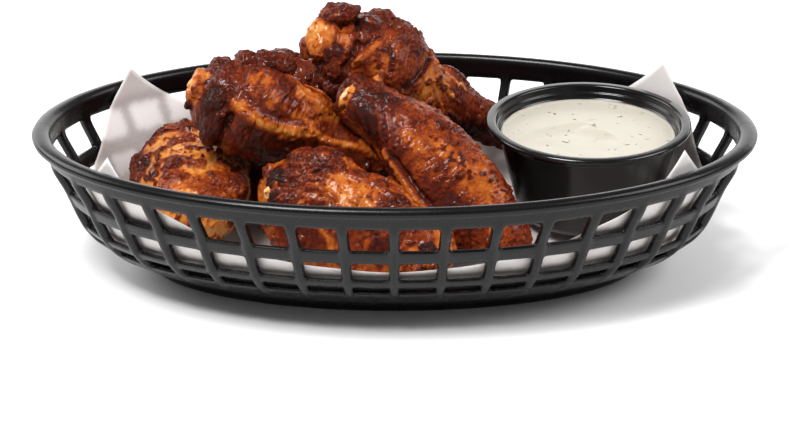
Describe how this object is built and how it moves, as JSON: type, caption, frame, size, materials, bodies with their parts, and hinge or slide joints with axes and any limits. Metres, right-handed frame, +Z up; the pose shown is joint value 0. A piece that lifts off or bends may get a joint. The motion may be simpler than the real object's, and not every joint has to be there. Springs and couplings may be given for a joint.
{
  "type": "chicken wings serving",
  "caption": "Roasted chicken wings piled in an oval ribbed plastic basket with a paper liner and a small black pot of creamy herb dip",
  "frame": {"origin": "on the surface that the foot of the basket stands on, under the middle of the basket", "axes": "X along the basket's long side, Y from the front to the back, Z up"},
  "size_m": [0.2348, 0.1467, 0.0771],
  "materials": {
    "black_plastic": "moulded black plastic with a soft satin sheen",
    "white_paper": "thin white food paper, slightly see-through, softly creased",
    "black_gloss_plastic": "glossy black moulded pot",
    "creamy_dip": "thick off-white dip with herb specks, softly glossy",
    "roasted_skin": "browned and charred crisp skin under a sticky glaze"
  },
  "bodies": {
    "root": {"basket": "black_plastic", "paper_liner": "white_paper", "dip_cup": "black_gloss_plastic", "dip": "creamy_dip", "drumette_left": "roasted_skin", "drumette_back": "roasted_skin", "flat_right": "roasted_skin", "flat_left_front": "roasted_skin", "flat_front": "roasted_skin", "flat_back": "roasted_skin", "drumette_under_right": "roasted_skin", "drumette_under_left": "roasted_skin"}
  },
  "joints": []
}
